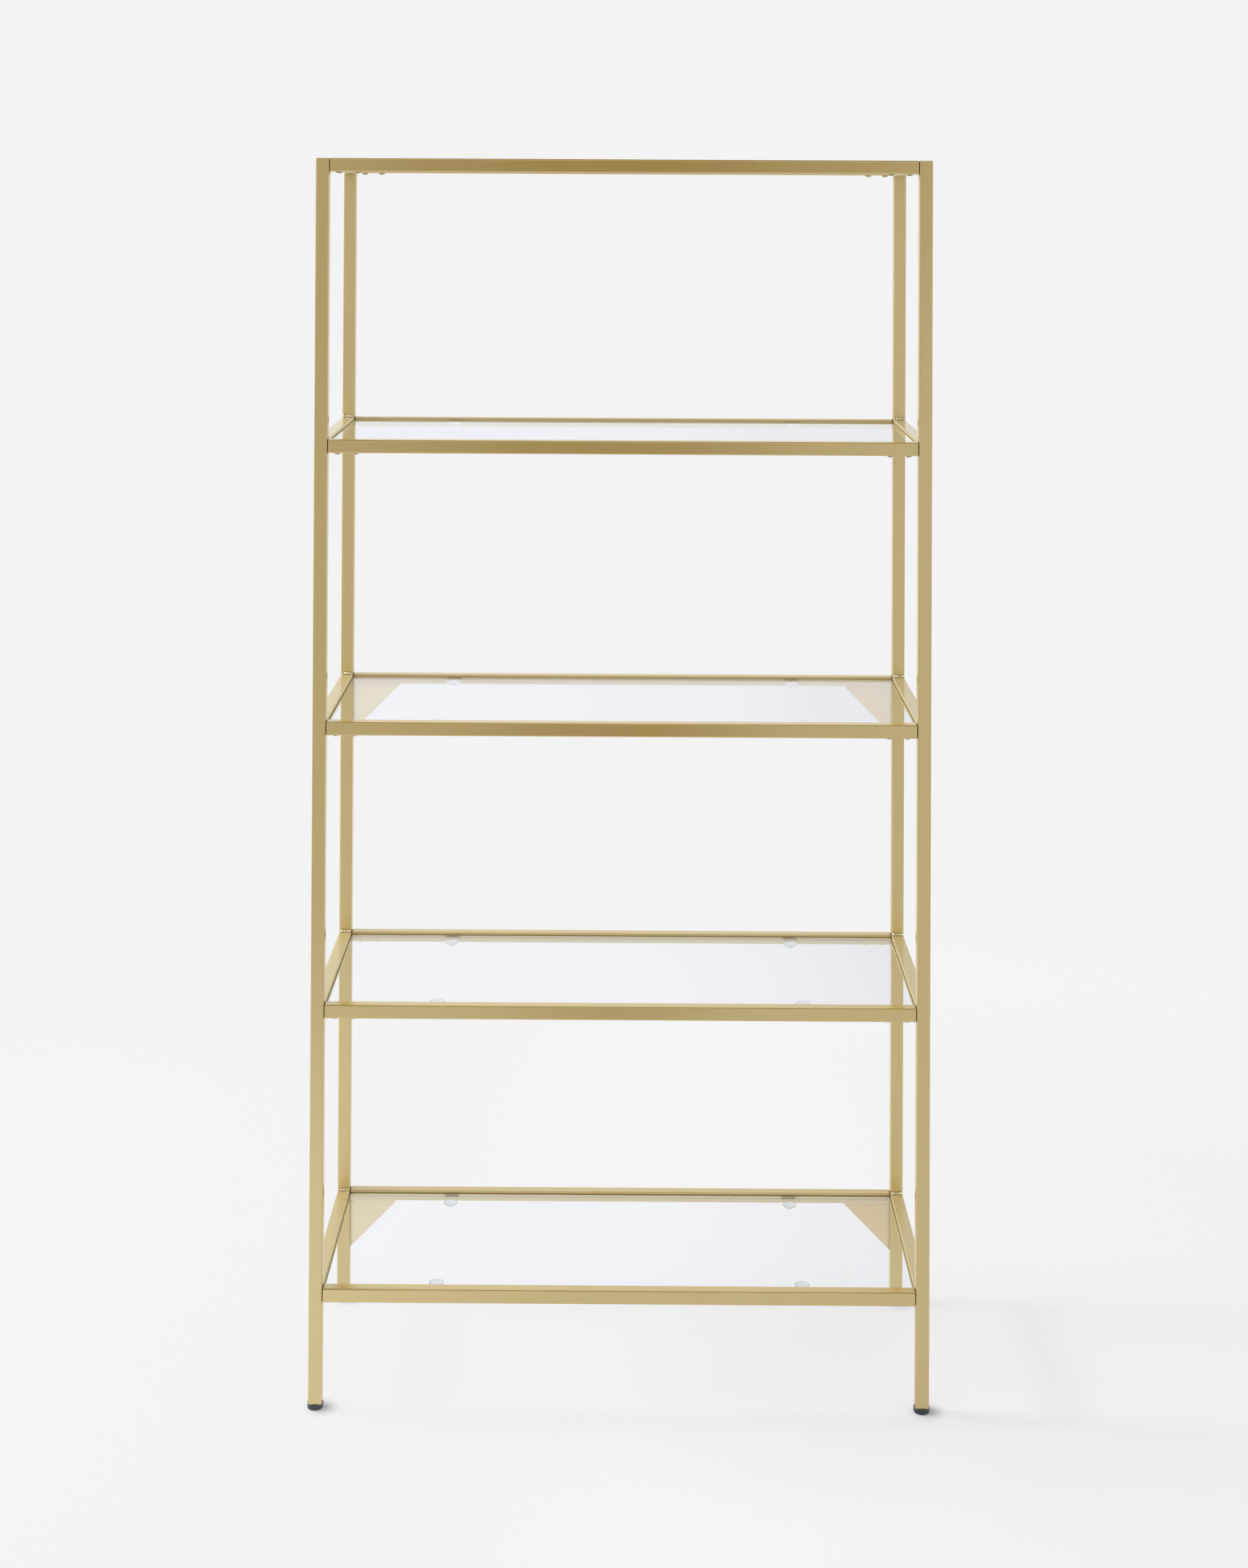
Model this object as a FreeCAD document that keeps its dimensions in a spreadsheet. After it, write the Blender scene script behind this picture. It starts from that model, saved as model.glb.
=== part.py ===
import FreeCAD, Part
import math
import os
import Sketcher

# Étagère: five clear glass shelves in a frame of square steel tube.
# Two welded side ladders (front post, rear post and five short side rails each) are joined by ten
# long rails. Each long rail slides over a tongue on the post at either end and is bolted from below,
# or from behind where a corner plate is in the way.
# Axes: +X to the viewer's right, +Y to the rear, +Z up. Origin: on the floor, under the middle.
# All lengths are in millimetres.

SIZES = (
    # alias, value, what it is
    ("overall_width", 914, "across the outer faces of the posts"),
    ("overall_depth", 381, "across the outer faces of the posts"),
    ("leg_length", 149, "post's lower end to the underside of the lowest rails"),
    ("level_pitch", 416.5, "from one shelf level to the next"),
    ("tube_size", 20, "outside of the square tube"),
    ("tube_wall", 1.5, "wall of the square tube"),
    ("tube_corner", 2, "outer corner radius of the tube"),
    ("tube_inner_corner", 0.5, "inner corner radius of the tube"),
    ("cap_thickness", 2, "plate that closes the top of a post"),
    ("cap_edge", 1.5, "rounding of the plate's top edge"),
    ("rail_end_gap", 1, "between a long rail's end and the post"),
    ("tongue_clearance", 0.4, "tongue under the tube's inside size"),
    ("tongue_corner", 1, "corner radius of the tongue"),
    ("bolt_from_post", 14, "post face to the nearer bolt"),
    ("bolt_pitch", 27, "between the two bolts of a rail end"),
    ("tongue_past_bolt", 13, "farther bolt to the tongue's free end"),
    ("bolt_diameter", 6, "shank of the rail bolt"),
    ("bolt_grip", 10, "thread that stands in the tongue"),
    ("bolt_hole_play", 0.6, "hole in the rail over the shank"),
    ("thread_play", 0.1, "threaded bore over its screw"),
    ("bolt_head_diameter", 10.5, "button head"),
    ("bolt_head_height", 2.7, "button head"),
    ("bolt_head_rim", 0.8, "straight rim under the dome"),
    ("low_head_height", 1.8, "head of a bolt that comes from behind"),
    ("socket_size", 4, "hexagon socket across flats"),
    ("socket_depth", 1.7, "hexagon socket"),
    ("glass_thickness", 6, "tempered glass"),
    ("glass_drop", 3.5, "rail top down to the glass top"),
    ("glass_gap", 3, "glass edge to the long rails"),
    ("glass_side_gap", 1.5, "glass edge to the side rails"),
    ("glass_corner", 3, "corner radius of the pane"),
    ("glass_bevel", 0.6, "ground arris of the pane"),
    ("tab_from_post", 165, "post face to the middle of a shelf tab"),
    ("tab_width", 22, "shelf tab"),
    ("tab_length", 7, "shelf tab, out of the rail"),
    ("tab_thickness", 3, "shelf tab"),
    ("tab_corner", 2, "free corners of the shelf tab"),
    ("disc_diameter", 22, "clear suction disc"),
    ("front_disc_gap", 1, "front tab's end to the disc's rim"),
    ("rear_disc_gap", 13, "rear tab's end to the disc's rim"),
    ("disc_height", 6.6, "disc with its stem"),
    ("disc_rim", 1.4, "straight rim of the disc"),
    ("disc_lip", 1.2, "flat ring that touches the glass"),
    ("disc_hollow", 1, "depth of the cup in the disc"),
    ("disc_dome", 3, "depth of the domed back"),
    ("disc_stem", 5.5, "stem under the disc"),
    ("gusset_leg", 78, "corner plate, upright edge"),
    ("gusset_tip", 3, "blunt end of the corner plate"),
    ("gusset_thickness", 3, "corner plate"),
    ("foot_height", 9, "levelling foot below the post"),
    ("foot_diameter", 24, "levelling foot"),
    ("foot_round", 2.4, "lower edge of the levelling foot"),
    ("foot_edge", 0.6, "upper edge of the levelling foot"),
    ("foot_screw", 8, "screw of the levelling foot"),
    ("foot_screw_length", 24, "screw above the foot"),
    ("insert_thickness", 6, "threaded plate in the post's lower end"),
)

LEVELS = ("bottom", "lower", "middle", "upper", "top")
GUSSET_LEVELS = ("bottom", "middle")
SIDES = (("left", -1), ("right", 1))
FACES = (("front", -1), ("rear", 1))

doc = FreeCAD.newDocument("etagere")
sheet = doc.addObject("Spreadsheet::Sheet", "Sizes")
for row, (alias, value, meaning) in enumerate(SIZES, start=1):
    sheet.set(f"A{row}", alias)
    sheet.set(f"B{row}", str(value))
    sheet.set(f"C{row}", meaning)
    sheet.setAlias(f"B{row}", alias)
doc.recompute()


def size(name):
    """A driving dimension, as it is written in an expression."""
    return f"Sizes.{name}"


TUBE = size("tube_size")
HALF_TUBE = f"{TUBE} / 2"
INSIDE = f"({TUBE} - 2 * {size('tube_wall')})"
POST_X = f"(({size('overall_width')} - {TUBE}) / 2)"
POST_Y = f"(({size('overall_depth')} - {TUBE}) / 2)"
POST_FACE_X = f"({size('overall_width')} / 2 - {TUBE})"
RAIL_FACE_Y = f"({size('overall_depth')} / 2 - {TUBE})"
TOP_LEVEL = len(LEVELS) - 1
LOWEST_UNDERSIDE = f"({size('foot_height')} + {size('leg_length')})"
TOTAL_HEIGHT = f"({LOWEST_UNDERSIDE} + {TUBE} + {TOP_LEVEL} * {size('level_pitch')})"
POST_LENGTH = f"({TOTAL_HEIGHT} - {size('cap_thickness')} - {size('foot_height')})"
LONG_RAIL_LENGTH = f"(2 * {POST_FACE_X} - 2 * {size('rail_end_gap')})"
GLASS_BOTTOM = f"({HALF_TUBE} - {size('glass_drop')} - {size('glass_thickness')})"
TAB_X = f"({POST_FACE_X} - {size('tab_from_post')})"
FARTHER_BOLT = f"({size('bolt_from_post')} + {size('bolt_pitch')})"
TONGUE_LENGTH = f"({FARTHER_BOLT} + {size('tongue_past_bolt')})"
BOLT_X = f"({POST_FACE_X} - {FARTHER_BOLT})"
BOLT_COLUMNS = (BOLT_X, f"({BOLT_X} + {size('bolt_pitch')})")


def level_z(level):
    """Height of the middle of a level's tubes."""
    step = LEVELS.index(level)
    return f"({LOWEST_UNDERSIDE} + {HALF_TUBE} + {step} * {size('level_pitch')})"


def number(expression):
    """The present value of an expression made of the sheet's cells."""
    value = sheet.evalExpression(expression)
    return float(getattr(value, "Value", value))


def make_body(label, x="0", y="0", z="0"):
    """A named sub-part whose own origin lies at x, y, z."""
    body = doc.addObject("PartDesign::Body", label)
    body.Label = label
    for axis, expression in (("x", x), ("y", y), ("z", z)):
        body.setExpression(f"Placement.Base.{axis}", expression)
    return body


def origin_plane(body, role):
    """One of the three planes of a body's own origin."""
    return next(item for item in body.Origin.OriginFeatures if item.Role == role)


def make_sketch(body, role, across="0", up="0", along="0"):
    """A sketch on an origin plane, shifted in the plane and along its normal."""
    sketch = body.newObject("Sketcher::SketchObject", f"{body.Label}_sketch")
    sketch.AttachmentSupport = [(origin_plane(body, role), "")]
    sketch.MapMode = "FlatFace"
    for axis, expression in (("x", across), ("y", up), ("z", along)):
        sketch.setExpression(f"AttachmentOffset.Base.{axis}", expression)
    return sketch


def bind(sketch, kind, *arguments):
    """Adds a dimension to a sketch; its last argument is the expression that drives it."""
    *places, expression = arguments
    index = sketch.addConstraint(Sketcher.Constraint(kind, *places, number(expression)))
    sketch.setExpression(f"Constraints[{index}]", expression)


def rounded_square(sketch, side, corner):
    """A square with round corners about the sketch's origin."""
    half = number(side) / 2
    radius = number(corner)
    flat = half - radius
    first = sketch.GeometryCount
    up = FreeCAD.Vector(0, 0, 1)
    for quarter in range(4):
        turn = FreeCAD.Rotation(up, 90 * quarter)
        start = turn.multVec(FreeCAD.Vector(-flat, -half, 0))
        end = turn.multVec(FreeCAD.Vector(flat, -half, 0))
        middle = turn.multVec(FreeCAD.Vector(flat, -flat, 0))
        sketch.addGeometry(Part.LineSegment(start, end), False)
        begin = math.radians(90 * quarter - 90)
        circle = Part.Circle(middle, up, radius)
        sketch.addGeometry(Part.ArcOfCircle(circle, begin, begin + math.pi / 2), False)
    for step in range(8):
        here = first + step
        following = first + (step + 1) % 8
        sketch.addConstraint(Sketcher.Constraint("Tangent", here, 2, following, 1))
    for line, kind in ((0, "Horizontal"), (2, "Vertical"), (4, "Horizontal"), (6, "Vertical")):
        sketch.addConstraint(Sketcher.Constraint(kind, first + line))
    for arc in (3, 5, 7):
        sketch.addConstraint(Sketcher.Constraint("Equal", first + 1, first + arc))
    sketch.addConstraint(Sketcher.Constraint("Symmetric", first, 1, first + 4, 1, -1, 1))
    bind(sketch, "DistanceY", first, 1, first + 4, 1, side)
    bind(sketch, "DistanceX", first + 6, 1, first + 2, 1, side)
    bind(sketch, "Radius", first + 1, corner)


def outline(sketch, points, arcs=None):
    """A closed outline. Points are pairs of expressions; arcs maps the number of an edge to
    its radius and the side it bulges to (1 to the right of its run, -1 to the left)."""
    arcs = arcs or {}
    places = [FreeCAD.Vector(number(across), number(up), 0) for across, up in points]
    count = len(places)
    first = sketch.GeometryCount
    heads = [1] * count
    for edge, start in enumerate(places):
        end = places[(edge + 1) % count]
        if edge not in arcs:
            sketch.addGeometry(Part.LineSegment(start, end), False)
            continue
        radius, bulge = number(arcs[edge][0]), arcs[edge][1]
        chord = end - start
        square_on = FreeCAD.Vector(chord.y, -chord.x, 0).normalize()
        rise = radius - math.sqrt(max(radius**2 - (chord.Length / 2) ** 2, 0))
        crown = (start + end) / 2 + square_on * rise * bulge
        if bulge < 0:
            # a sketch keeps its arcs anticlockwise, so this one runs from its end to its start
            heads[edge] = 2
            start, end = end, start
        sketch.addGeometry(Part.Arc(start, crown, end), False)
    for edge in range(count):
        following = (edge + 1) % count
        ends = (first + edge, 3 - heads[edge], first + following, heads[following])
        sketch.addConstraint(Sketcher.Constraint("Coincident", *ends))
    for edge, (across, up) in enumerate(points):
        for kind, expression in (("DistanceX", across), ("DistanceY", up)):
            bind(sketch, kind, -1, 1, first + edge, heads[edge], expression)
    for edge, (radius, _) in arcs.items():
        bind(sketch, "Radius", first + edge, radius)


def circle(sketch, diameter, across="0", up="0"):
    """A circle whose middle lies at across, up."""
    middle = FreeCAD.Vector(number(across), number(up), 0)
    ring = Part.Circle(middle, FreeCAD.Vector(0, 0, 1), number(diameter) / 2)
    index = sketch.addGeometry(ring, False)
    bind(sketch, "DistanceX", -1, 1, index, 3, across)
    bind(sketch, "DistanceY", -1, 1, index, 3, up)
    bind(sketch, "Diameter", index, diameter)


def extrude(body, sketch, length, both_ways=False, cut=False, reverse=False):
    """Pads a sketch, or cuts it out of the body as a pocket."""
    kind = "Pocket" if cut else "Pad"
    feature = body.newObject(f"PartDesign::{kind}", f"{body.Label}_{kind.lower()}")
    feature.Profile = sketch
    feature.SideType = "Symmetric" if both_ways else "One side"
    feature.Reversed = reverse
    feature.setExpression("Length", length)
    sketch.Visibility = False
    doc.recompute()
    return feature


def revolve(body, sketch):
    """Turns a half section about the sketch's vertical axis."""
    feature = body.newObject("PartDesign::Revolution", f"{body.Label}_revolution")
    feature.Profile = sketch
    feature.ReferenceAxis = (sketch, ["V_Axis"])
    feature.Angle = 360
    sketch.Visibility = False
    doc.recompute()
    return feature


def mirror(body, originals, *roles, pitch=None):
    """Repeats features once along X at a pitch, if one is given, then across origin planes."""
    steps = []
    if pitch:
        row = body.newObject("PartDesign::LinearPattern", f"{body.Label}_row")
        row.Direction = (origin_plane(body, "X_Axis"), [""])
        row.Mode = "Spacing"
        row.Occurrences = 2
        row.setExpression("Offset", pitch)
        steps.append(row)
    for role in roles:
        copy = body.newObject("PartDesign::Mirrored", f"{body.Label}_mirror")
        copy.MirrorPlane = (origin_plane(body, role), [""])
        steps.append(copy)
    pattern = body.newObject("PartDesign::MultiTransform", f"{body.Label}_pattern")
    pattern.Originals = originals
    pattern.Transformations = steps
    body.Tip = pattern
    doc.recompute()
    return pattern


def dress(body, feature, kind, amount_name, amount, wanted):
    """Rounds or bevels the edges of the body that the test picks out."""
    names = [f"Edge{n}" for n, edge in enumerate(feature.Shape.Edges, start=1) if wanted(edge)]
    dressing = body.newObject(f"PartDesign::{kind}", f"{body.Label}_{kind.lower()}")
    dressing.Base = (feature, names)
    dressing.setExpression(amount_name, amount)
    body.Tip = dressing
    doc.recompute()
    return dressing


def is_upright(edge):
    """True for an edge that runs along Z."""
    return abs(abs(edge.tangentAt(edge.FirstParameter).z) - 1) < 1e-6 and len(edge.Vertexes) == 2


def lies_at(height):
    """A test for edges that lie level at one height."""
    return lambda edge: all(abs(vertex.Z - height) < 1e-6 for vertex in edge.Vertexes)


def tube(body, role, length, both_ways):
    """A square tube along the normal of an origin plane."""
    sketch = make_sketch(body, role)
    rounded_square(sketch, TUBE, size("tube_corner"))
    rounded_square(sketch, INSIDE, size("tube_inner_corner"))
    return extrude(body, sketch, length, both_ways=both_ways)


def make_post(face, side, way_x, way_y):
    """One of the four uprights, from the levelling foot to its cap."""
    spot = (f"{way_x} * {POST_X}", f"{way_y} * {POST_Y}", size("foot_height"))
    body = make_body(f"post_{face}_{side}", *spot)
    tube(body, "XY_Plane", POST_LENGTH, both_ways=False)
    return body


def make_side_rail(side, way, level):
    """A short rail welded between the front and the rear post."""
    body = make_body(f"side_rail_{side}_{level}", f"{way} * {POST_X}", "0", level_z(level))
    tube(body, "XZ_Plane", f"2 * {RAIL_FACE_Y}", both_ways=True)
    return body


def bolted_from_behind(face, level):
    """True for the rear rails that carry corner plates, False for all that are bolted from below."""
    return face == "rear" and level in GUSSET_LEVELS


def make_bolt_sketch(body, behind, y, beyond="0"):
    """A sketch square to a rail's bolts, at a distance beyond the middle of the rail at y."""
    if behind:
        return make_sketch(body, "XZ_Plane", along=f"-({y}) - ({beyond})")
    return make_sketch(body, "XY_Plane", up=y, along=f"-({beyond})")


def make_long_rail(face, way, level):
    """A long rail with two bolt holes through one wall at each end."""
    body = make_body(f"{face}_rail_{level}", "0", f"{way} * {POST_Y}", level_z(level))
    blank = tube(body, "YZ_Plane", LONG_RAIL_LENGTH, both_ways=True)
    sketch = make_bolt_sketch(body, bolted_from_behind(face, level), "0")
    hole = f"{size('bolt_diameter')} + {size('bolt_hole_play')}"
    for column in BOLT_COLUMNS:
        circle(sketch, hole, column)
    holes = extrude(body, sketch, TUBE, cut=True)
    pattern = mirror(body, [holes], "YZ_Plane")
    wall_plug = math.pi * (number(hole) / 2) ** 2 * number(size("tube_wall"))
    removed = blank.Shape.Volume - pattern.Shape.Volume
    if abs(removed - 4 * wall_plug) > 0.01 * wall_plug:
        raise RuntimeError(f"{body.Label}: the bolt holes missed their wall")
    return body


def make_tongues(level):
    """Four threaded bars welded to the posts, one inside each end of the long rails."""
    body = make_body(f"rail_tongues_{level}", z=level_z(level))
    play = f"{size('tongue_clearance')} / 2"
    start = f"{POST_FACE_X} - {TONGUE_LENGTH}"
    bore = f"{size('bolt_diameter')} + {size('thread_play')}"
    features = []
    for face, way in FACES:
        # the bolts draw the wall they pass through against the tongue
        behind = bolted_from_behind(face, level)
        y = f"{way} * {POST_Y}"
        across, up = (f"{y} + {play}", play) if behind else (y, f"-{play}")
        sketch = make_sketch(body, "YZ_Plane", across, up, start)
        rounded_square(sketch, f"{INSIDE} - {size('tongue_clearance')}", size("tongue_corner"))
        bar = extrude(body, sketch, TONGUE_LENGTH)
        sketch = make_bolt_sketch(body, behind, y)
        for column in BOLT_COLUMNS:
            circle(sketch, bore, column)
        threads = extrude(body, sketch, f"2 * {TUBE}", both_ways=True, cut=True)
        if threads.Shape.Volume >= bar.Shape.Volume:
            raise RuntimeError(f"{body.Label}: the threaded holes cut nothing")
        features += [bar, threads]
    mirror(body, features, "YZ_Plane")
    return body


def make_bolts(level):
    """Eight button head bolts, two at each end of the long rails."""
    body = make_body(f"rail_bolts_{level}", z=level_z(level))
    features = []
    for face, way in FACES:
        features += make_bolt(body, bolted_from_behind(face, level), f"{way} * {POST_Y}")
    mirror(body, features, "YZ_Plane", pitch=size("bolt_pitch"))
    return body


def make_bolt(body, behind, y):
    """One bolt of a rail at y, from behind with a low head or from below with a tall one."""
    shank = f"{size('bolt_diameter')} / 2"
    head = f"{size('bolt_head_diameter')} / 2"
    height = size("low_head_height") if behind else size("bolt_head_height")
    tip = f"({size('tube_wall')} + {size('bolt_grip')})"
    thread_end = f"{size('bolt_diameter')} / 8"
    points = (
        ("0", tip),
        (f"{shank} - {thread_end}", tip),
        (shank, f"({tip} - {thread_end})"),
        (shank, "0"),
        (head, "0"),
        (head, f"-{size('bolt_head_rim')}"),
        (f"{head} / 2", f"-{height}"),
        ("0", f"-{height}"),
    )
    if behind:
        points = [(across, f"-1 * {up}") for across, up in points]
        sketch = make_sketch(body, "XY_Plane", BOLT_X, f"{y} + {HALF_TUBE}")
    else:
        sketch = make_sketch(body, "XZ_Plane", BOLT_X, f"-{HALF_TUBE}", f"-({y})")
    outline(sketch, points, {5: (head, 1 if behind else -1)})
    blank = revolve(body, sketch)
    sketch = make_bolt_sketch(body, behind, y, f"{HALF_TUBE} + {height}")
    hexagon(sketch, size("socket_size"), BOLT_X)
    socket = extrude(body, sketch, size("socket_depth"), cut=True, reverse=True)
    if socket.Shape.Volume >= blank.Shape.Volume:
        raise RuntimeError(f"{body.Label}: the socket cut nothing")
    return [blank, socket]


def hexagon(sketch, across_flats, middle):
    """A hexagon on the sketch's X axis, with two flats square to that axis."""
    right = f"{middle} + {across_flats} / 2"
    left = f"{middle} - {across_flats} / 2"
    half_side = f"{across_flats} / sqrt(3) / 2"
    peak = f"{across_flats} / sqrt(3)"
    points = (
        (right, f"-{half_side}"),
        (right, half_side),
        (middle, peak),
        (left, half_side),
        (left, f"-{half_side}"),
        (middle, f"-{peak}"),
    )
    outline(sketch, points)


def make_gusset(side, way, level):
    """A corner plate welded under an end of the rear rail and to the post's inner face."""
    underside = f"{level_z(level)} - {HALF_TUBE}"
    body = make_body(f"gusset_{side}_{level}", f"{way} * {POST_FACE_X}", POST_Y, underside)
    leg = size("gusset_leg")
    tip = size("gusset_tip")
    inward = -way
    points = (
        ("0", "0"),
        ("0", f"-{leg}"),
        (f"{inward} * ({leg} - {tip})", f"-{tip}"),
        (f"{inward} * ({leg} - {tip})", "0"),
    )
    sketch = make_sketch(body, "XZ_Plane")
    outline(sketch, points)
    extrude(body, sketch, size("gusset_thickness"), both_ways=True)
    return body


def make_glass(level):
    """A clear pane that lies inside the level's rails, on the shelf tabs."""
    body = make_body(f"glass_shelf_{level}", z=level_z(level))
    half_x = f"({POST_FACE_X} - {size('glass_side_gap')})"
    half_y = f"({RAIL_FACE_Y} - {size('glass_gap')})"
    points = (
        (f"-{half_x}", f"-{half_y}"),
        (half_x, f"-{half_y}"),
        (half_x, half_y),
        (f"-{half_x}", half_y),
    )
    sketch = make_sketch(body, "XY_Plane", along=GLASS_BOTTOM)
    outline(sketch, points)
    pane = extrude(body, sketch, size("glass_thickness"))
    pane = dress(body, pane, "Fillet", "Radius", size("glass_corner"), is_upright)
    bottom = number(GLASS_BOTTOM)
    top = bottom + number(size("glass_thickness"))
    on_top, on_bottom = lies_at(top), lies_at(bottom)
    bevelled = lambda edge: on_top(edge) or on_bottom(edge)
    dress(body, pane, "Chamfer", "Size", size("glass_bevel"), bevelled)
    return body


def make_tabs(level):
    """Four flat steel tabs welded to the long rails, which carry the glass."""
    body = make_body(f"shelf_tabs_{level}", z=level_z(level))
    half = f"{size('tab_width')} / 2"
    free_end = f"({RAIL_FACE_Y} - {size('tab_length')})"
    points = (
        (f"{TAB_X} - {half}", free_end),
        (f"{TAB_X} + {half}", free_end),
        (f"{TAB_X} + {half}", RAIL_FACE_Y),
        (f"{TAB_X} - {half}", RAIL_FACE_Y),
    )
    sketch = make_sketch(body, "XY_Plane", along=f"{GLASS_BOTTOM} - {size('tab_thickness')}")
    outline(sketch, points)
    tab = extrude(body, sketch, size("tab_thickness"))
    tabs = mirror(body, [tab], "YZ_Plane", "XZ_Plane")
    reach = number(free_end) + number(size("tab_length")) / 2
    free = lambda edge: is_upright(edge) and abs(edge.Vertexes[0].Y) < reach
    dress(body, tabs, "Fillet", "Radius", size("tab_corner"), free)
    return body


def make_discs(level):
    """Four clear suction discs on the underside of the glass, inward of the tabs."""
    body = make_body(f"suction_discs_{level}", z=level_z(level))
    rim = f"{size('disc_diameter')} / 2"
    lip = f"({rim} - {size('disc_lip')})"
    stem = f"{size('disc_stem')} / 2"
    hollow = size("disc_hollow")
    back = f"-({size('disc_rim')} + {size('disc_dome')})"
    dome_chord = f"(({rim} - {stem}) ^ 2 + {size('disc_dome')} ^ 2) ^ 0.5"
    points = (
        ("0", f"-{hollow}"),
        (lip, "0"),
        (rim, "0"),
        (rim, f"-{size('disc_rim')}"),
        (stem, back),
        (stem, f"-{size('disc_height')}"),
        ("0", f"-{size('disc_height')}"),
    )
    cup = f"({lip} ^ 2 + {hollow} ^ 2) / (2 * {hollow})"
    discs = []
    for face, way in FACES:
        inset = f"{size('tab_length')} + {size(face + '_disc_gap')} + {rim}"
        depth = f"{-way} * ({RAIL_FACE_Y} - ({inset}))"
        sketch = make_sketch(body, "XZ_Plane", TAB_X, GLASS_BOTTOM, depth)
        outline(sketch, points, {0: (cup, 1), 3: (dome_chord, -1)})
        discs.append(revolve(body, sketch))
    mirror(body, discs, "YZ_Plane")
    return body


def make_caps():
    """Four plates that close the tops of the posts."""
    below = f"{TOTAL_HEIGHT} - {size('cap_thickness')}"
    body = make_body("post_top_caps", z=below)
    sketch = make_sketch(body, "XY_Plane", POST_X, POST_Y)
    rounded_square(sketch, TUBE, size("tube_corner"))
    plate = extrude(body, sketch, size("cap_thickness"))
    plates = mirror(body, [plate], "YZ_Plane", "XZ_Plane")
    upper = lies_at(number(size("cap_thickness")))
    dress(body, plates, "Fillet", "Radius", size("cap_edge"), upper)
    return body


def make_inserts():
    """Four threaded plates in the lower ends of the posts, for the levelling feet."""
    body = make_body("foot_thread_inserts", z=size("foot_height"))
    sketch = make_sketch(body, "XY_Plane", POST_X, POST_Y)
    rounded_square(sketch, INSIDE, size("tube_inner_corner"))
    circle(sketch, f"{size('foot_screw')} + {size('thread_play')}")
    plate = extrude(body, sketch, size("insert_thickness"))
    mirror(body, [plate], "YZ_Plane", "XZ_Plane")
    return body


def make_foot(face, side, way_x, way_y):
    """A round levelling foot with a screw that runs in the threaded plate."""
    spot = (f"{way_x} * {POST_X}", f"{way_y} * {POST_Y}", "0")
    body = make_body(f"levelling_foot_{face}_{side}", *spot)
    rim = f"{size('foot_diameter')} / 2"
    screw = f"{size('foot_screw')} / 2"
    curve = size("foot_round")
    edge = size("foot_edge")
    top = size("foot_height")
    tip = f"({top} + {size('foot_screw_length')})"
    thread_end = f"{size('foot_screw')} / 8"
    points = (
        ("0", "0"),
        (f"{rim} - {curve}", "0"),
        (rim, curve),
        (rim, f"{top} - {edge}"),
        (f"{rim} - {edge}", top),
        (screw, top),
        (screw, f"{tip} - {thread_end}"),
        (f"{screw} - {thread_end}", tip),
        ("0", tip),
    )
    sketch = make_sketch(body, "XZ_Plane")
    outline(sketch, points, {1: (curve, 1)})
    revolve(body, sketch)
    return body


def make_everything():
    """Every sub-part of the étagère, from the floor up."""
    parts = []
    for face, way_y in FACES:
        for side, way_x in SIDES:
            parts.append(make_foot(face, side, way_x, way_y))
            parts.append(make_post(face, side, way_x, way_y))
    parts.append(make_inserts())
    parts.append(make_caps())
    for level in LEVELS:
        for side, way in SIDES:
            parts.append(make_side_rail(side, way, level))
        for face, way in FACES:
            parts.append(make_long_rail(face, way, level))
        parts.append(make_tongues(level))
        parts.append(make_bolts(level))
        parts.append(make_tabs(level))
        parts.append(make_glass(level))
        parts.append(make_discs(level))
    for level in GUSSET_LEVELS:
        for side, way in SIDES:
            parts.append(make_gusset(side, way, level))
    return parts


def check(parts):
    """Stops if any object failed or any sub-part has no sound shape."""
    for item in doc.Objects:
        if "Invalid" in item.State or "Error" in item.State:
            raise RuntimeError(f"{item.Label} is {item.State}")
    for body in parts:
        if body.Shape.isNull() or not body.Shape.isValid() or body.Shape.Volume <= 0:
            raise RuntimeError(f"{body.Label} has no sound shape")


sub_parts = make_everything()
doc.recompute()
check(sub_parts)
os.makedirs("parts", exist_ok=True)
for sub_part in sub_parts:
    sub_part.Shape.exportStep(os.path.join("parts", f"{sub_part.Label}.step"))
print(len(sub_parts), "sub-parts,", sum(len(body.Shape.Solids) for body in sub_parts), "solids")
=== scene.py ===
import math
import random

import bpy
from mathutils import Matrix, Vector


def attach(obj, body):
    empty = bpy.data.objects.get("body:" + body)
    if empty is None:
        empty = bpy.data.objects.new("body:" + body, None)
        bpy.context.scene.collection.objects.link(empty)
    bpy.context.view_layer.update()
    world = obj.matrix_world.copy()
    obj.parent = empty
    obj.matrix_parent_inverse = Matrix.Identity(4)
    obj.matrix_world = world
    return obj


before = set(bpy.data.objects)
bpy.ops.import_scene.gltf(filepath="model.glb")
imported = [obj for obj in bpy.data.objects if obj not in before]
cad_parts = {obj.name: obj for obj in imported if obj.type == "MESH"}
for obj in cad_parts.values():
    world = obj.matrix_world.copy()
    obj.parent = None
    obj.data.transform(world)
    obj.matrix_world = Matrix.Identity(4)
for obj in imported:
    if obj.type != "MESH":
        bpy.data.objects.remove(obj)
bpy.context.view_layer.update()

# Looks of a clear glass étagère in a frame of gold painted square tube, in a pale studio.
# Lengths are in metres; +X is the viewer's right, +Y the rear, +Z up, and the floor is at 0.
MM = 0.001
LEVELS = {"bottom": 0.168, "lower": 0.5845, "middle": 1.001, "upper": 1.4175, "top": 1.834}
PLATE_LEVELS = ("bottom", "middle")
POST_X, POST_Y = 0.447, 0.1805
HALF_TUBE = 10 * MM
PLATE_FRONT_Y = 0.179
DISC_X, DISC_FRONT_Y, DISC_REAR_Y = 0.272, -0.1515, 0.1395
DISC_RADIUS = 11 * MM
FOOT_TOP = 9 * MM
THREAD_PITCH = 1.25 * MM

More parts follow.
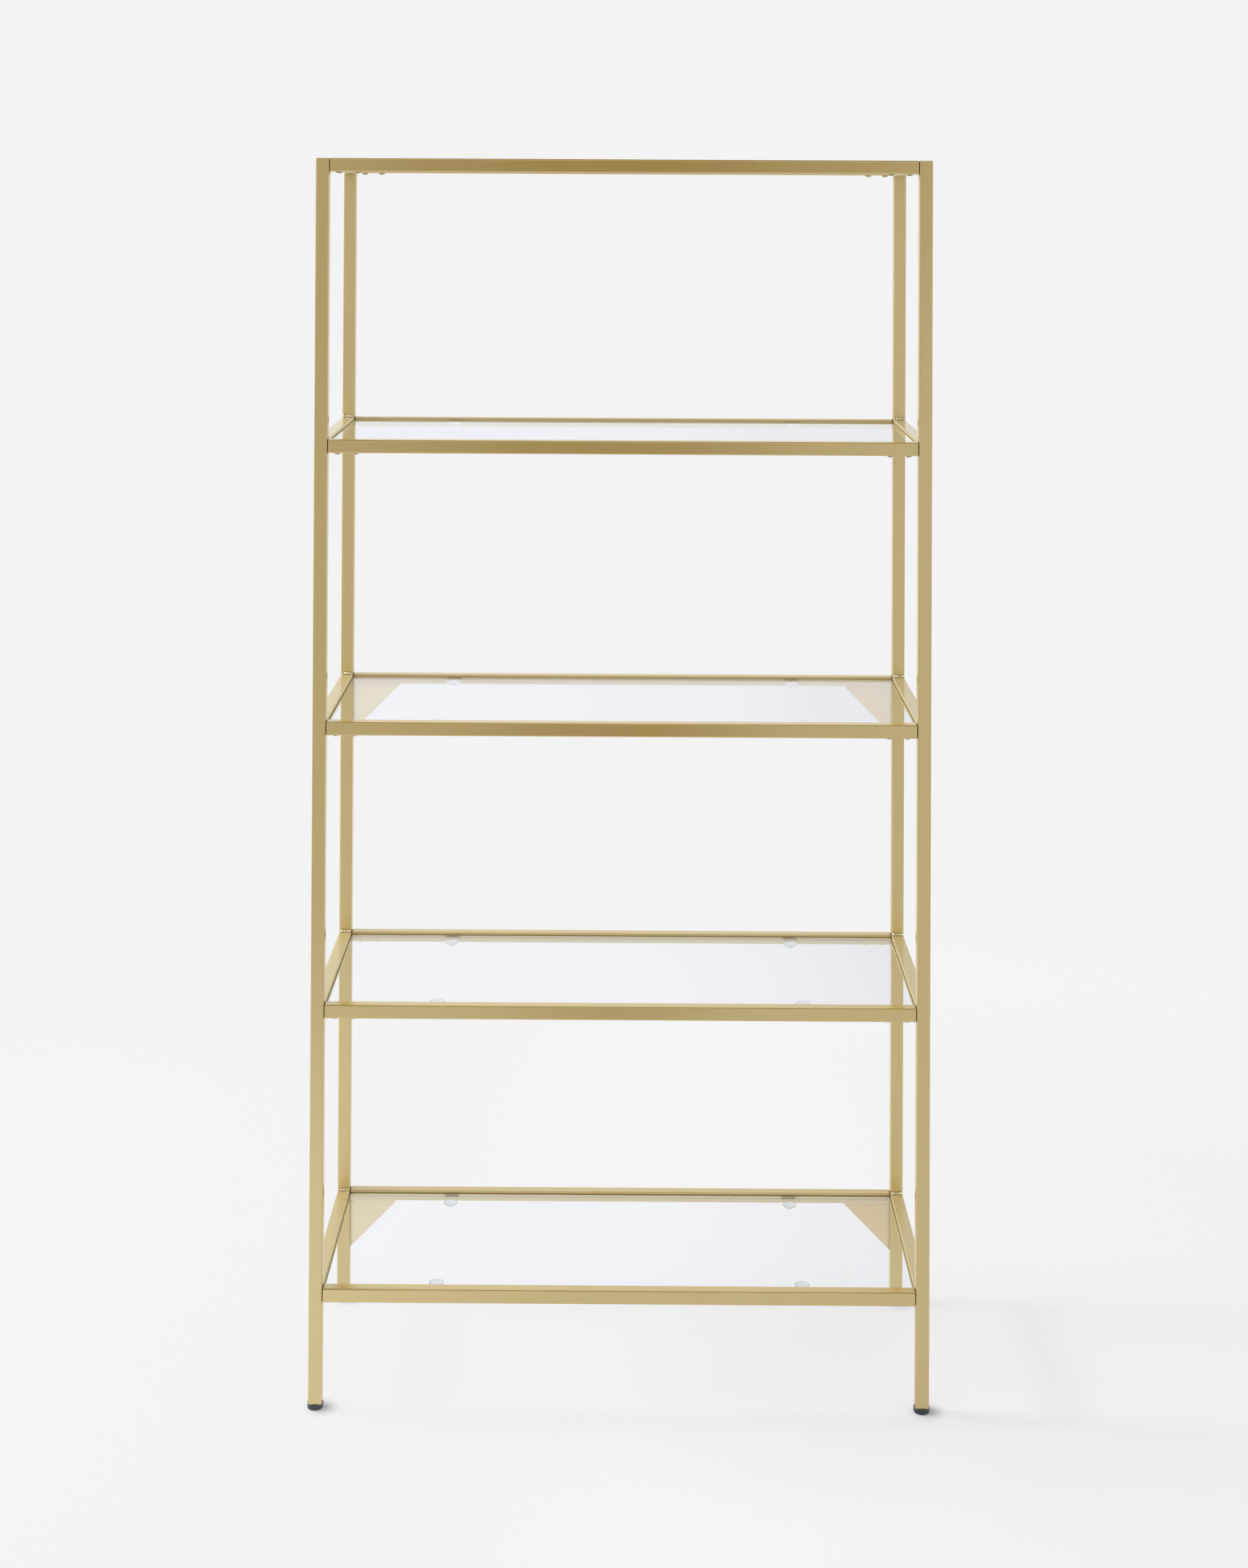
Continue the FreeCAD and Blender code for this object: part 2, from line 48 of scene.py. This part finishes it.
CREVICE_REACH = 9 * MM
COAT_WEIGHT = 0.7
FLAKE_DEEP, FLAKE_LIGHT = (0.880, 0.885, 0.590, 1), (0.950, 0.955, 0.670, 1)
FLAKE_EDGE_TINT = (1.0, 0.96, 0.78, 1)
GLASS_IOR = 1.5
VINYL_IOR = 1.3

WHITE = (0.896, 0.896, 0.896, 1)
BLACK = (0, 0, 0, 1)
FLOOR_REACH = 400.0
FLOOR_ASIDE = 100.0  # keeps the seam between the floor's two triangles out of sight

# One satin gold paint. A row says only what differs from PAINT: the rows are lit and shaded copies,
# whose colours paint in the light and shade that their pieces catch in the studio, and some are
# rougher as well.
PAINT = {
    "share": (0.36, 0.40),           # metal flake over the pigment, from grain to grain
    "deep": (0.545, 0.312, 0.036),   # pigment in the darker grains
    "light": (0.570, 0.330, 0.046),  # pigment in the lighter grains
    "sheen": (0.19, 0.22),           # roughness of the flake
    # The two crevice colours are painted shade: near other surfaces the paint is drawn darker.
    "crevice_shade_pigment": (0.20, 0.105, 0.015),   # pigment deep in a crevice
    "crevice_shade_flake": (0.36, 0.30, 0.12),      # flake deep in a crevice
}
PAINTS = {
    "satin_gold_paint": {},
    "satin_gold_rear": {
        "deep": (0.630, 0.388, 0.092), "light": (0.655, 0.405, 0.102), "sheen": (0.30, 0.34),
    },
    "satin_gold_side": {
        "share": (0.26, 0.30), "deep": (0.640, 0.480, 0.215), "light": (0.665, 0.500, 0.230),
        "sheen": (0.42, 0.46), "crevice_shade_pigment": (0.64, 0.45, 0.11), "crevice_shade_flake": (0.90, 0.74, 0.28),
    },
    "satin_gold_plate": {
        "share": (0.50, 0.54), "deep": (0.76, 0.45, 0.07), "light": (0.79, 0.48, 0.09),
        "sheen": (0.30, 0.36),
    },
    "satin_gold_pale_plate": {
        "share": (0.26, 0.30), "deep": (0.97, 0.78, 0.34), "light": (0.98, 0.80, 0.37),
        "sheen": (0.30, 0.36),
    },
    "satin_gold_deep_plate": {
        "deep": (0.78, 0.42, 0.02), "light": (0.81, 0.44, 0.03), "sheen": (0.30, 0.36),
    },
    "satin_gold_bead": {
        "share": (0.38, 0.44), "deep": (0.74, 0.60, 0.37), "light": (0.80, 0.66, 0.43),
        "sheen": (0.22, 0.28), "crevice_shade_pigment": (0.66, 0.52, 0.29),
    },
}


# ---------------------------------------------------------------- node trees

class Tree:
    """Short way to build a node tree."""

    def __init__(self, owner):
        owner.use_nodes = True
        self.tree = owner.node_tree
        self.tree.nodes.clear()

    def add(self, kind, **settings):
        node = self.tree.nodes.new(kind)
        for name, value in settings.items():
            setattr(node, name, value)
        return node

    def put(self, socket, value):
        if isinstance(value, bpy.types.NodeSocket):
            self.tree.links.new(value, socket)
        else:
            socket.default_value = value

    def fill(self, node, *values):
        """Give the node's first inputs these values, and hand back its first output."""
        for socket, value in zip(node.inputs, values):
            self.put(socket, value)
        return node.outputs[0]

    def math(self, operation, *values):
        return self.fill(self.add("ShaderNodeMath", operation=operation), *values)

    def product(self, first, *others):
        for other in others:
            first = self.math("MULTIPLY", first, other)
        return first

    def off(self, value, middle):
        """Distance of a value from a middle one."""
        return self.math("ABSOLUTE", self.math("SUBTRACT", value, middle))

    def mix(self, factor, a, b, blend="MIX"):
        node = self.add("ShaderNodeMix", data_type="RGBA", blend_type=blend)
        for place, value in zip((0, 6, 7), (factor, a, b)):
            self.put(node.inputs[place], value)
        return node.outputs[2]

    def blend(self, factor, a, b):
        return self.fill(self.add("ShaderNodeMixShader"), factor, a, b)

    def steps(self, value, low, high, start=0.0, end=1.0, kind="SMOOTHSTEP"):
        node = self.add("ShaderNodeMapRange", interpolation_type=kind)
        return self.fill(node, value, low, high, start, end)

    def between(self, share, start, end):
        return self.steps(share, 0.0, 1.0, start, end, "LINEAR")

    def ramp(self, value, stops):
        node = self.add("ShaderNodeValToRGB")
        ramp = node.color_ramp
        ramp.interpolation = "EASE"
        while len(ramp.elements) < len(stops):
            ramp.elements.new(0.5)
        for element, (position, shade) in zip(ramp.elements, stops):
            element.position = position
            element.color = shade if isinstance(shade, tuple) else (shade, shade, shade, 1)
        return self.fill(node, value)

    def parts(self, vector):
        node = self.add("ShaderNodeSeparateXYZ")
        self.put(node.inputs[0], vector)
        return node.outputs

    def noise(self, where, scale, detail=2.0):
        node = self.add("ShaderNodeTexNoise")
        self.put(node.inputs["Vector"], where)
        node.inputs["Scale"].default_value = scale
        node.inputs["Detail"].default_value = detail
        return node.outputs[0]

    def bump(self, height, strength, distance):
        node = self.add("ShaderNodeBump")
        self.put(node.inputs["Height"], height)
        node.inputs["Strength"].default_value = strength
        node.inputs["Distance"].default_value = distance
        return node.outputs[0]

    def openness(self, reach, samples, normal=None):
        """1 in the open, less where something stands within reach."""
        node = self.add("ShaderNodeAmbientOcclusion", samples=samples)
        node.inputs["Distance"].default_value = reach
        if normal is not None:
            self.put(node.inputs["Normal"], normal)
        return node.outputs["AO"]

    def rays(self):
        return self.add("ShaderNodeLightPath").outputs

    def out(self, surface, kind="ShaderNodeOutputMaterial"):
        self.put(self.add(kind).inputs[0], surface)


def principled(tree, **values):
    node = tree.add("ShaderNodeBsdfPrincipled")
    for name, value in values.items():
        tree.put(node.inputs[name.replace("_", " ")], value)
    return node.outputs[0]


def material(name):
    made = bpy.data.materials.new(name)
    tree = Tree(made)
    place = tree.add("ShaderNodeTexCoord").outputs["Object"]
    return made, tree, place


def let_light_through(tree, shader, tint):
    """Plain transparency for shadow and diffuse rays, so that the lamp shines through."""
    rays = tree.rays()
    through = tree.math("MAXIMUM", rays["Is Shadow Ray"], rays["Is Diffuse Ray"])
    open_air = tree.fill(tree.add("ShaderNodeBsdfTransparent"), tint)
    return tree.blend(through, shader, open_air)


# ---------------------------------------------------------------- finishes

def satin_gold(name, share, deep, light, sheen, crevice_shade_pigment, crevice_shade_flake):
    """Pale metal flake over a gold pigment under a clear coat. Crevices get painted shade: the
    pigment and flake darken there and the coat fades out, taking its reflection away.
    """
    made, tree, place = material(name)
    grain = tree.steps(tree.noise(place, 2600, 1.0), 0.30, 0.72)
    cloud = tree.steps(tree.noise(place, 6), 0.2, 0.8)
    # Painted shade: 1 in the open, towards 0 near other surfaces, where the colours darken and the
    # coat fades.
    unshaded = tree.steps(tree.openness(CREVICE_REACH, 8), 0.12, 0.86)
    coat = {
        "Coat_Weight": tree.product(unshaded, COAT_WEIGHT), "Coat_Roughness": 0.12,
        "Coat_IOR": 1.5, "Normal": tree.bump(tree.noise(place, 420, 1.0), 0.04, 0.3 * MM),
    }
    colour = tree.mix(grain, (*deep, 1), (*light, 1))
    pigment = principled(
        tree, Base_Color=tree.mix(unshaded, (*crevice_shade_pigment, 1), colour),
        Roughness=tree.between(cloud, 0.44, 0.52), Specular_IOR_Level=0.0, **coat,
    )
    colour = tree.mix(grain, FLAKE_DEEP, FLAKE_LIGHT)
    flake = principled(
        tree, Base_Color=tree.mix(unshaded, (*crevice_shade_flake, 1), colour), Metallic=1.0,
        Roughness=tree.between(cloud, *sheen), Specular_Tint=FLAKE_EDGE_TINT, **coat,
    )
    tree.out(tree.blend(tree.between(grain, *share), pigment, flake))
    return made


def clear_glass():
    """Clear tempered plate with ground, slightly green edges, whose cream colour is partly painted
    light.
    """
    made, tree, place = material("clear_plate_glass")
    normal = tree.parts(tree.add("ShaderNodeNewGeometry").outputs["Normal"])
    edge = tree.steps(tree.math("ABSOLUTE", normal[2]), 0.90, 0.60)
    grain = tree.noise(place, 900)
    wave = tree.noise(place, 5, 1.0)
    clear = principled(
        tree, Base_Color=tree.mix(wave, (0.970, 0.983, 0.990, 1), (0.974, 0.985, 0.990, 1)),
        Roughness=0.0, Transmission_Weight=1.0, IOR=GLASS_IOR, Normal=tree.bump(wave, 0.02, 1 * MM),
    )
    # The ground edges are cream partly as frosted glass and partly as a painted reflection: the
    # bright line that light caught inside the plate shows at its edge.
    ground = principled(
        tree, Base_Color=tree.mix(grain, (0.86, 0.82, 0.62, 1), (0.96, 0.92, 0.72, 1)),
        Roughness=tree.steps(grain, 0.3, 0.7, 0.25, 0.40), Transmission_Weight=0.35, IOR=GLASS_IOR,
    )
    tint = tree.mix(edge, (0.97, 0.98, 0.98, 1), (0.30, 0.32, 0.28, 1))
    tree.out(let_light_through(tree, tree.blend(edge, clear, ground), tint))
    return made


def clear_vinyl():
    """Soft clear milky plastic of the suction discs, with painted shade and a painted highlight in
    rings.
    """
    made, tree, place = material("clear_soft_vinyl")
    x, y, _ = tree.parts(place)
    aside = tree.math("SUBTRACT", tree.math("ABSOLUTE", x), DISC_X)
    rear = tree.math("GREATER_THAN", y, 0.0)
    ahead = tree.math("SUBTRACT", y, tree.between(rear, DISC_FRONT_Y, DISC_REAR_Y))
    squares = tree.math("ADD", tree.math("POWER", aside, 2.0), tree.math("POWER", ahead, 2.0))
    radius = tree.math("DIVIDE", tree.math("SQRT", squares), DISC_RADIUS)
    cloud = tree.noise(place, 260)
    stem, bowl = (0.97, 0.97, 0.96, 1), (0.93, 0.94, 0.96, 1)
    # By distance from each disc's middle: the dark ring round the stem and the darker rim are
    # painted shade, and the pale stem is a painted highlight.
    milk_and_painted_rings = tree.ramp(radius, [
        (0.0, stem), (0.24, stem), (0.32, (0.70, 0.71, 0.73, 1)), (0.42, bowl), (0.80, bowl),
        (0.90, (0.76, 0.77, 0.79, 1)), (1.0, (0.86, 0.87, 0.89, 1)),
    ])
    vinyl = principled(
        tree, Base_Color=tree.mix(tree.product(cloud, 0.12), milk_and_painted_rings, (0.80, 0.81, 0.84, 1)),
        Roughness=tree.steps(cloud, 0.3, 0.7, 0.16, 0.26), Transmission_Weight=0.50,
        IOR=VINYL_IOR, Normal=tree.bump(cloud, 0.08, 0.4 * MM),
    )
    tree.out(let_light_through(tree, vinyl, (0.80, 0.82, 0.84, 1)))
    return made


def brass_plate():
    """Bright brass plating of the bolts and threaded plates."""
    made, tree, place = material("bright_brass_plate")
    grain = tree.noise(place, 1800)
    tree.out(principled(
        tree, Base_Color=tree.mix(grain, (0.40, 0.31, 0.17, 1), (0.54, 0.44, 0.27, 1)),
        Metallic=1.0, Roughness=tree.steps(grain, 0.3, 0.7, 0.08, 0.14),
        Normal=tree.bump(grain, 0.03, 0.2 * MM), Coat_Weight=0.8, Coat_Roughness=0.04,
    ))
    return made


def slot_shade_finish():
    """Near-black finish of the tongues inside the rail ends: painted shade for the dark slot at each
    rail end.
    """
    made, tree, place = material("rail_slot_shade")
    grain = tree.noise(place, 700, 3.0)
    tree.out(principled(
        tree, Base_Color=tree.mix(grain, (0.018, 0.012, 0.007, 1), (0.048, 0.034, 0.020, 1)),
        Metallic=0.3, Roughness=tree.steps(grain, 0.3, 0.7, 0.45, 0.60),
        Normal=tree.bump(grain, 0.15, 0.3 * MM),
    ))
    return made


def foot_finish():
    """Black moulded plastic, with the plated steel screw and its thread above it."""
    made, tree, place = material("levelling_foot_finish")
    height = tree.parts(place)[2]
    grain = tree.noise(place, 1500)
    plastic = principled(
        tree, Base_Color=tree.mix(grain, (0.026, 0.029, 0.042, 1), (0.042, 0.046, 0.062, 1)),
        Roughness=tree.steps(grain, 0.3, 0.7, 0.12, 0.18), Specular_IOR_Level=0.6,
        Normal=tree.bump(grain, 0.05, 0.3 * MM),
    )
    thread = tree.math("PINGPONG", height, THREAD_PITCH / 2)
    steel = principled(
        tree, Base_Color=tree.mix(grain, (0.55, 0.56, 0.57, 1), (0.70, 0.70, 0.69, 1)),
        Metallic=1.0, Roughness=tree.steps(grain, 0.3, 0.7, 0.22, 0.34),
        Normal=tree.bump(thread, 0.8, 1.0),
    )
    above = tree.steps(height, FOOT_TOP - 0.05 * MM, FOOT_TOP + 0.05 * MM)
    tree.out(tree.blend(above, plastic, steel))
    return made


# ---------------------------------------------------------------- weld beads

BEAD_PITCH = 3.4 * MM
BEAD_STEP = 0.35 * MM
BEAD_TAPER = 1.4 * MM
BEAD_INSET = 0.8 * MM  # from the rail's side face to the bead's end
BEAD_ARC = 9           # points around a bead's open side
TOP_BEAD, UNDER_BEAD, CAP_LEVEL_BEAD, TACK_BEAD = 4.4 * MM, 2.4 * MM, 1.6 * MM, 1.3 * MM
TACKS_X = ((364 * MM, 368 * MM), (398 * MM, 403 * MM))


def bead(verts, faces, start, end, up, out, radius, rng):
    """A rippled fillet weld from start to end in the corner between directions up and out."""
    along = end - start
    length = along.length
    along.normalize()
    rings = max(6, int(length / BEAD_STEP))
    first = len(verts)
    phase = rng.uniform(0, 1)
    for i in range(rings + 1):
        t = i / rings
        d = t * length
        ripple = 1 - 0.13 * math.sin(math.pi * (d / BEAD_PITCH + phase)) ** 2
        slow = math.sin(2 * math.pi * (1.3 * t + phase))
        quick = math.sin(2 * math.pi * (4.1 * t + 3 * phase))
        taper = min(1.0, min(t, 1 - t) * length / BEAD_TAPER) ** 0.5
        r = radius * ripple * (1 + 0.16 * slow + 0.09 * quick) * taper
        root = start + along * d
        for j in range(BEAD_ARC):
            a = j / (BEAD_ARC - 1) * math.pi / 2
            bulge = r * (0.78 + 0.22 * math.sin(2 * a))
            verts.append(root + up * (math.sin(a) * bulge) + out * (math.cos(a) * bulge))
        verts.append(root)
    around = BEAD_ARC + 1
    for i in range(rings):
        for j in range(around):
            a = first + i * around + j
            b = first + i * around + (j + 1) % around
            faces.append((a, b, b + around, a + around))


def mesh_piece(name, verts, faces, finish, body):
    mesh = bpy.data.meshes.new(name)
    mesh.from_pydata([tuple(v) for v in verts], [], faces)
    mesh.validate()
    mesh.update()
    for polygon in mesh.polygons:
        polygon.use_smooth = True
    mesh.materials.append(finish)
    piece = bpy.data.objects.new(name, mesh)
    bpy.context.scene.collection.objects.link(piece)
    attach(piece, body)


def weld_beads(finish):
    """Beads where the side rails meet the posts, above and below, and tacks on the corner plates."""
    rng = random.Random(7)
    half = HALF_TUBE - BEAD_INSET
    for level, z in LEVELS.items():
        verts, faces = [], []
        sizes = ((-1, CAP_LEVEL_BEAD),) if level == "top" else ((1, TOP_BEAD), (-1, UNDER_BEAD))
        for side in (-1, 1):
            for end in (-1, 1):
                for up, radius in sizes:
                    y, corner = end * (POST_Y - HALF_TUBE), z + up * HALF_TUBE
                    a = Vector((side * POST_X - half, y, corner))
                    b = Vector((side * POST_X + half, y, corner))
                    away = Vector((0, -end, 0))
                    bead(verts, faces, a, b, Vector((0, 0, up)), away, radius, rng)
        mesh_piece("weld_beads_" + level, verts, faces, finish, "frame")
    verts, faces = [], []
    for level in PLATE_LEVELS:
        under = LEVELS[level] - HALF_TUBE
        for side in (-1, 1):
            for near, far in TACKS_X:
                a = Vector((side * near, PLATE_FRONT_Y, under))
                b = Vector((side * far, PLATE_FRONT_Y, under))
                down, away = Vector((0, 0, -1)), Vector((0, -1, 0))
                bead(verts, faces, a, b, down, away, TACK_BEAD, rng)
    mesh_piece("gusset_tacks", verts, faces, finish, "frame")


# ---------------------------------------------------------------- stage

def mirrored_floor(tree, x, ahead):
    """Brightness of the floor in front of the unit, as its shiny faces mirror it.

    It is dark straight ahead and far off, bright a little to the right of that at middle
    distance, and brighter on the left than on the right close by.
    """
    aside = tree.math("DIVIDE", x, tree.math("MAXIMUM", ahead, 0.1))
    aside = tree.math("ADD", aside, 0.5)
    dim = tree.ramp(aside, [
        (0.0, 0.50), (0.25, 0.58), (0.37, 0.54), (0.455, 0.16), (0.545, 0.16), (0.64, 0.76),
        (0.74, 0.66), (1.0, 0.54),
    ])
    middle = tree.steps(tree.off(aside, 0.5), 0.13, 0.05)
    dark_strip = tree.product(tree.steps(ahead, 15, 42), middle)
    dim = tree.mix(dark_strip, dim, (0.01, 0.01, 0.01, 1))
    right = tree.steps(tree.off(aside, 0.615), 0.05, 0.02)
    bright_patch = tree.product(right, tree.steps(ahead, 6, 12), tree.steps(ahead, 34, 18))
    dim = tree.mix(bright_patch, dim, (0.95, 0.95, 0.95, 1))
    near = tree.steps(x, -0.60, 0.0, 1.00, 0.74)
    return tree.mix(tree.steps(ahead, 0.7, 2.8), near, dim)


def floor_through_glass(tree, x, y):
    """Bluish floor behind the unit, as the glass shows it, with a painted shadow that darkens it
    towards the right.
    """
    behind = tree.ramp(tree.product(y, 0.05), [
        (0.0, (0.895, 0.895, 0.930, 1)), (0.09, (0.873, 0.873, 0.912, 1)),
        (0.24, (0.835, 0.835, 0.885, 1)), (0.70, (0.715, 0.715, 0.810, 1)),
        (1.0, (0.66, 0.66, 0.78, 1)),
    ])
    # Painted shadow: the floor seen through the glass is drawn darker towards the right.
    painted_right_shadow = tree.ramp(tree.steps(x, -2, 2, kind="LINEAR"), [
        (0.0, 1.04), (0.3875, 1.02), (0.50, 0.985), (0.595, 0.96), (0.625, 0.92), (0.675, 0.85),
        (0.75, 0.83), (1.0, 0.82),
    ])
    return tree.mix(1.0, behind, painted_right_shadow, "MULTIPLY")


def contact_shadow(tree):
    """Shade on the floor just beside the feet, on the side away from the lamp."""
    lamp_side = tree.fill(tree.add("ShaderNodeCombineXYZ"), -0.80, -0.10, 0.60)
    return tree.steps(tree.openness(25 * MM, 6, lamp_side), 0.50, 0.97, 0.45, 1.0)


def make_floor():
    """White floor: it glows evenly, and takes the lamp's shadows only near the unit. Beside the feet
    a painted contact shadow darkens its glow and its colour.
    """
    mesh = bpy.data.meshes.new("studio_floor")
    left, right = FLOOR_ASIDE - FLOOR_REACH, FLOOR_ASIDE + FLOOR_REACH
    near, far = -FLOOR_REACH, FLOOR_REACH
    corners = [(left, near, 0), (right, near, 0), (right, far, 0), (left, far, 0)]
    mesh.from_pydata(corners, [], [(0, 1, 2, 3)])
    floor = bpy.data.objects.new("studio_floor", mesh)
    bpy.context.scene.collection.objects.link(floor)
    made, tree, place = material("studio_floor")
    made.cycles.emission_sampling = "NONE"
    x, y, _ = tree.parts(place)
    rays = tree.rays()
    mirrored = tree.math("SUBTRACT", rays["Is Glossy Ray"], rays["Is Transmission Ray"])
    mirrored = tree.product(tree.math("MAXIMUM", mirrored, 0.0), tree.steps(y, 0.10, -0.20))
    dim = mirrored_floor(tree, x, tree.product(y, -1.0))
    under = contact_shadow(tree)
    plain = tree.mix(rays["Is Transmission Ray"], WHITE, floor_through_glass(tree, x, y))
    # Painted contact shadow beside the feet, in the glow as well as in the colour.
    plain = tree.mix(1.0, plain, under, "MULTIPLY")
    from_middle = tree.add("ShaderNodeVectorMath", operation="LENGTH")
    tree.put(from_middle.inputs[0], place)
    close = tree.steps(from_middle.outputs["Value"], 2.6, 1.2)
    to_right = tree.steps(x, -0.45, 0.65)
    strength = tree.math("ADD", tree.product(close, to_right, 0.11), 1.0)
    glow = tree.fill(tree.add("ShaderNodeEmission"), tree.mix(mirrored, plain, dim), strength)
    painted = tree.mix(1.0, (0.888, 0.892, 0.912, 1), under, "MULTIPLY")
    shade = tree.fill(tree.add("ShaderNodeBsdfDiffuse"), tree.mix(mirrored, painted, dim))
    seen = tree.math("MAXIMUM", rays["Is Camera Ray"], rays["Is Glossy Ray"])
    seen = tree.math("MAXIMUM", seen, rays["Is Transmission Ray"])
    lit = tree.product(close, tree.math("ADD", tree.product(to_right, 0.43), 0.13))
    glowing = tree.product(seen, tree.math("SUBTRACT", 1.0, lit))
    tree.out(tree.blend(glowing, shade, glow))
    mesh.materials.append(made)


def make_world():
    """Plain white to the eye; shiny faces mirror a studio that is bright ahead and dim aside.

    A small dark spot lies straight ahead, which clear glass doesn't mirror.
    """
    world = bpy.data.worlds.new("studio")
    world.cycles.sampling_method = "NONE"
    bpy.context.scene.world = world
    tree = Tree(world)
    x, y, z = tree.parts(tree.add("ShaderNodeTexCoord").outputs["Generated"])
    front = tree.math("ADD", tree.product(y, -0.5), 0.5)
    rays = tree.rays()
    studio = tree.ramp(front, [
        (0.00, (0.98, 0.99, 1.02, 1)), (0.25, 0.80), (0.40, 0.35), (0.50, 0.20), (0.65, 0.50),
        (0.85, 0.95), (0.93, 0.96), (0.9930, 0.92), (1.0, 0.92),
    ])
    spot = tree.math("SUBTRACT", tree.steps(front, 0.9930, 0.9973), rays["Is Singular Ray"])
    studio = tree.mix(tree.math("MAXIMUM", spot, 0.0), studio, BLACK)
    front_wall = tree.product(tree.steps(front, 0.90, 0.98), tree.steps(z, 0.07, 0.15))
    studio = tree.mix(front_wall, studio, (0.88, 0.89, 0.92, 1))
    studio = tree.mix(tree.steps(z, 0.35, 0.80), studio, (0.06, 0.06, 0.06, 1))
    back_right = tree.product(tree.steps(front, 0.25, 0.15), tree.steps(x, 0.0, 0.12))
    back_right = tree.product(back_right, tree.steps(z, 0.18, 0.34, 0.0, 0.22))
    studio = tree.mix(back_right, studio, BLACK)
    seen = tree.math("MAXIMUM", rays["Is Camera Ray"], rays["Is Transmission Ray"])
    around = tree.mix(rays["Is Glossy Ray"], (0.78, 0.78, 0.78, 1), studio)
    background = tree.fill(tree.add("ShaderNodeBackground"), tree.mix(seen, around, WHITE))
    tree.out(background, "ShaderNodeOutputWorld")


LAMP_AT, LAMP_AIM = (-2.75, 0.30, 2.72), (0, 0, 0.5)
LAMP_WIDTH = 0.9
LAMP_POWER = 46

IMAGE_WIDTH_PX = 1716
FOCAL_PX = 3419.61
SHIFT_PX = (5.019, -859.464)
CAMERA_AT = (0.0106958, -3.870747, 1.800611)
YAW, PITCH, ROLL = 0.00453, 0.01196, 0.00492


def make_lamp():
    """A soft box high on the left, which throws the unit's faint shadows to the right."""
    data = bpy.data.lights.new("soft_box", "AREA")
    data.shape = "DISK"
    data.size = LAMP_WIDTH
    data.energy = LAMP_POWER
    lamp = bpy.data.objects.new("soft_box", data)
    bpy.context.scene.collection.objects.link(lamp)
    lamp.location = LAMP_AT
    towards = Vector(LAMP_AIM) - lamp.location
    lamp.rotation_euler = towards.to_track_quat("-Z", "Y").to_euler()
    lamp.visible_camera = False


def make_camera():
    """A nearly level camera, with the lens shifted down to the unit."""
    ahead = Vector((-math.sin(YAW), math.cos(YAW), 0))
    level = Vector((math.cos(YAW), math.sin(YAW), 0))
    forward = math.cos(PITCH) * ahead + math.sin(PITCH) * Vector((0, 0, 1))
    upright = level.cross(forward)
    right = math.cos(ROLL) * level + math.sin(ROLL) * upright
    up = math.cos(ROLL) * upright - math.sin(ROLL) * level
    data = bpy.data.cameras.new("camera")
    data.sensor_fit = "HORIZONTAL"
    data.sensor_width = 36
    data.lens = FOCAL_PX / IMAGE_WIDTH_PX * data.sensor_width
    data.shift_x, data.shift_y = (shift / IMAGE_WIDTH_PX for shift in SHIFT_PX)
    data.clip_end = 1000
    camera = bpy.data.objects.new("camera", data)
    turn = Matrix((right, up, -forward)).transposed().to_4x4()
    camera.matrix_world = Matrix.Translation(CAMERA_AT) @ turn
    bpy.context.scene.collection.objects.link(camera)
    bpy.context.scene.camera = camera


# ---------------------------------------------------------------- put together

def dress(finishes):
    """Give each node the finish of the last prefix in the list that its name starts with."""
    for name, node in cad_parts.items():
        for prefix, finish in finishes.items():
            if name.startswith(prefix):
                node.material_slots[0].link = "OBJECT"
                node.material_slots[0].material = finish


paint = {name: satin_gold(name, **{**PAINT, **changes}) for name, changes in PAINTS.items()}
gold, rear_gold = paint["satin_gold_paint"], paint["satin_gold_rear"]
brass = brass_plate()
# Rear pieces, side rails, corner plates and beads wear lit and shaded copies of the gold paint:
# painted light and shade.
dress({
    "post_front": gold,
    "post_top": gold,
    "post_rear": rear_gold,
    "side_rail_": paint["satin_gold_side"],
    "front_rail_": gold,
    "rear_rail_": rear_gold,
    "rail_tongues_": slot_shade_finish(),
    "rail_bolts_": brass,
    "foot_thread_inserts": brass,
    "shelf_tabs_": gold,
    "gusset_": paint["satin_gold_plate"],
    "gusset_left_middle": paint["satin_gold_pale_plate"],
    "gusset_right_": paint["satin_gold_deep_plate"],
    "glass_shelf_": clear_glass(),
    "suction_discs_": clear_vinyl(),
    "levelling_foot_": foot_finish(),
})
weld_beads(paint["satin_gold_bead"])
make_floor()
make_world()
make_lamp()
make_camera()

bpy.context.scene.view_settings.view_transform = "Standard"
bpy.context.view_layer.update()
